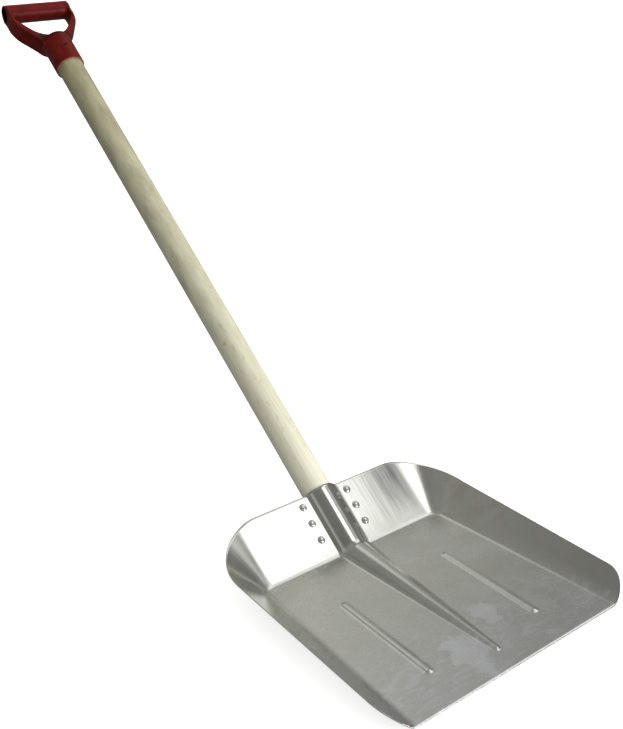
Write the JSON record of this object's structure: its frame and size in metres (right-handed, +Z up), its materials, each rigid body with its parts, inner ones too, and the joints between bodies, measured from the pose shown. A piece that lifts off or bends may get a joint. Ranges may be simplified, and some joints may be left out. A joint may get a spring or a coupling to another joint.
{
  "type": "snow shovel",
  "caption": "Scoop snow shovel with a pressed metal blade on a riveted rear socket plate, a round wooden shaft and a plastic D-grip.",
  "frame": {"origin": "on the underside of the blade's flat floor, at the middle of the cutting edge", "axes": "+Y runs back from the cutting edge towards the handle, +Z up from the floor's underside, +X completes the right-handed frame: it points to the right when one looks from the cutting edge towards the handle"},
  "size_m": [0.354, 1.0748, 0.6503],
  "materials": {
    "blade_sheet": "mill-bright, lightly brushed",
    "plate_sheet": "zinc plated, satin",
    "rivet_metal": "bright",
    "shaft_wood": "sanded, unvarnished birch",
    "screw_metal": "zinc plated",
    "grip_plastic": "dark red, semi-gloss, slightly grimy"
  },
  "bodies": {
    "root": {"blade": "blade_sheet", "rear_socket_plate": "plate_sheet", "rivet_left_1": "rivet_metal", "rivet_left_2": "rivet_metal", "rivet_left_3": "rivet_metal", "rivet_right_1": "rivet_metal", "rivet_right_2": "rivet_metal", "rivet_right_3": "rivet_metal", "shaft": "shaft_wood", "shaft_screw_1": "screw_metal", "shaft_screw_2": "screw_metal", "grip": "grip_plastic", "grip_screw": "screw_metal"}
  },
  "joints": []
}
